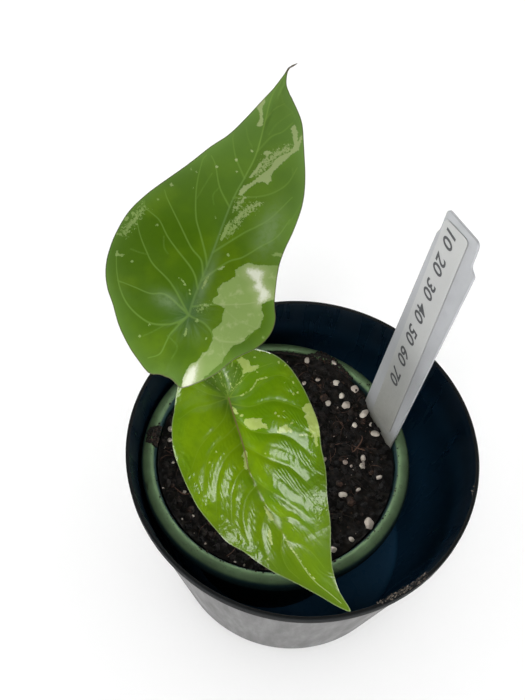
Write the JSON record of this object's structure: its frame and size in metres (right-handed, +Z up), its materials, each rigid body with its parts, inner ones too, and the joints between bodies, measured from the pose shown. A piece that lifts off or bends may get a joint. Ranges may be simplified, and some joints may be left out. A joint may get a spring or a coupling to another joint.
{
  "type": "potted alocasia plant",
  "caption": "Young variegated alocasia with pointed, heart-shaped quilted leaves on thin stalks, in a nursery pot of soil set inside a larger round cover pot, with a plant label in the soil.",
  "frame": {"origin": "middle of the cover pot's flat underside", "axes": "+Z up out of the pot, -Y towards the viewer, +X to the viewer's right, where the plant label stands"},
  "size_m": [0.1357, 0.1664, 0.1796],
  "materials": {
    "cover_pot": "satin",
    "nursery_pot": "satin",
    "soil": "matte",
    "older_leaf": "satin",
    "newer_leaf": "gloss",
    "label_plastic": "satin",
    "strip_film": "matte"
  },
  "bodies": {
    "root": {"cover_pot": "cover_pot", "nursery_pot": "nursery_pot", "soil": "soil", "leaf_upper": "older_leaf", "leaf_lower": "newer_leaf", "plant_label": "label_plastic", "label_strip": "strip_film"}
  },
  "joints": []
}
